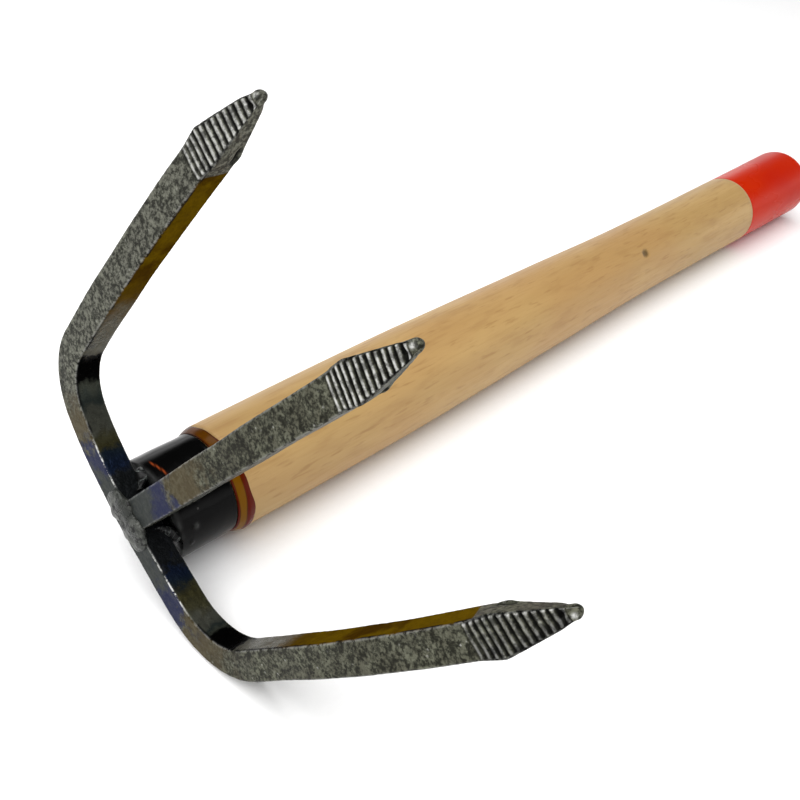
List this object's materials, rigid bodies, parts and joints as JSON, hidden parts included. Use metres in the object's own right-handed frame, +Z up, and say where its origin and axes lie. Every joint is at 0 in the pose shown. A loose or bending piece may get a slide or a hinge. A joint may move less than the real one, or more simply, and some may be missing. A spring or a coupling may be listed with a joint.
{
  "type": "hand cultivator",
  "caption": "Hand cultivator: a forged claw with ribbed spear points, welded to a ferrule on a turned wooden handle with a painted butt.",
  "frame": {"origin": "middle of the bounding box, on the surface that the tool lies on", "axes": "+X along the handle from the claw to the painted butt, +Z up as the tool lies on a table with its tines standing, resting on the handle and on the bend of one outer tine"},
  "size_m": [0.3436, 0.1384, 0.1256],
  "materials": {
    "beech": "smooth turned beech, thin clear coat",
    "red_paint": "glossy dipped paint on wood",
    "amber_lacquer": "glossy translucent lacquer",
    "black_lacquer": "gloss black lacquer on steel",
    "forged_steel": "dark oxidised, worn edges",
    "weld_metal": "lumpy weld beads, darkened"
  },
  "bodies": {
    "root": {"handle": "beech", "red_end_dip": "red_paint", "lacquer_ring": "amber_lacquer", "ferrule": "black_lacquer", "outer_tines": "forged_steel", "centre_tine": "forged_steel", "front_weld": "weld_metal", "left_rim_weld": "weld_metal", "right_rim_weld": "weld_metal", "under_weld": "weld_metal"}
  },
  "joints": []
}
